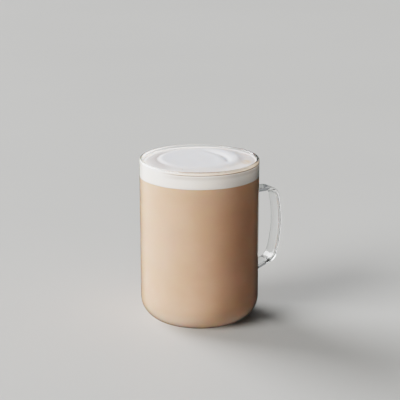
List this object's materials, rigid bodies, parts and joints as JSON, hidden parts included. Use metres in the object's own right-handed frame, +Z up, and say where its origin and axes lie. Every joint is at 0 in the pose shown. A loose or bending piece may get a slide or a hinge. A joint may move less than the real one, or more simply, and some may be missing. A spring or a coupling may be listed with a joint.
{
  "type": "chai latte",
  "caption": "Spiced milk drink with a thick layer of milk foam, in a straight clear glass mug with a flat strap handle.",
  "frame": {"origin": "middle of the mug's flat base", "axes": "+Z up along the mug's axis, +X towards the handle"},
  "size_m": [0.1099, 0.0832, 0.115],
  "materials": {
    "clear_glass": "smooth and clear, fire-polished rim",
    "spiced_milk": "opaque light brown drink with a faint cloudy swirl",
    "milk_foam": "smooth fine foam, off-white, with a soft sheen"
  },
  "bodies": {
    "root": {"glass_mug": "clear_glass", "chai_latte": "spiced_milk", "milk_foam": "milk_foam"}
  },
  "joints": []
}
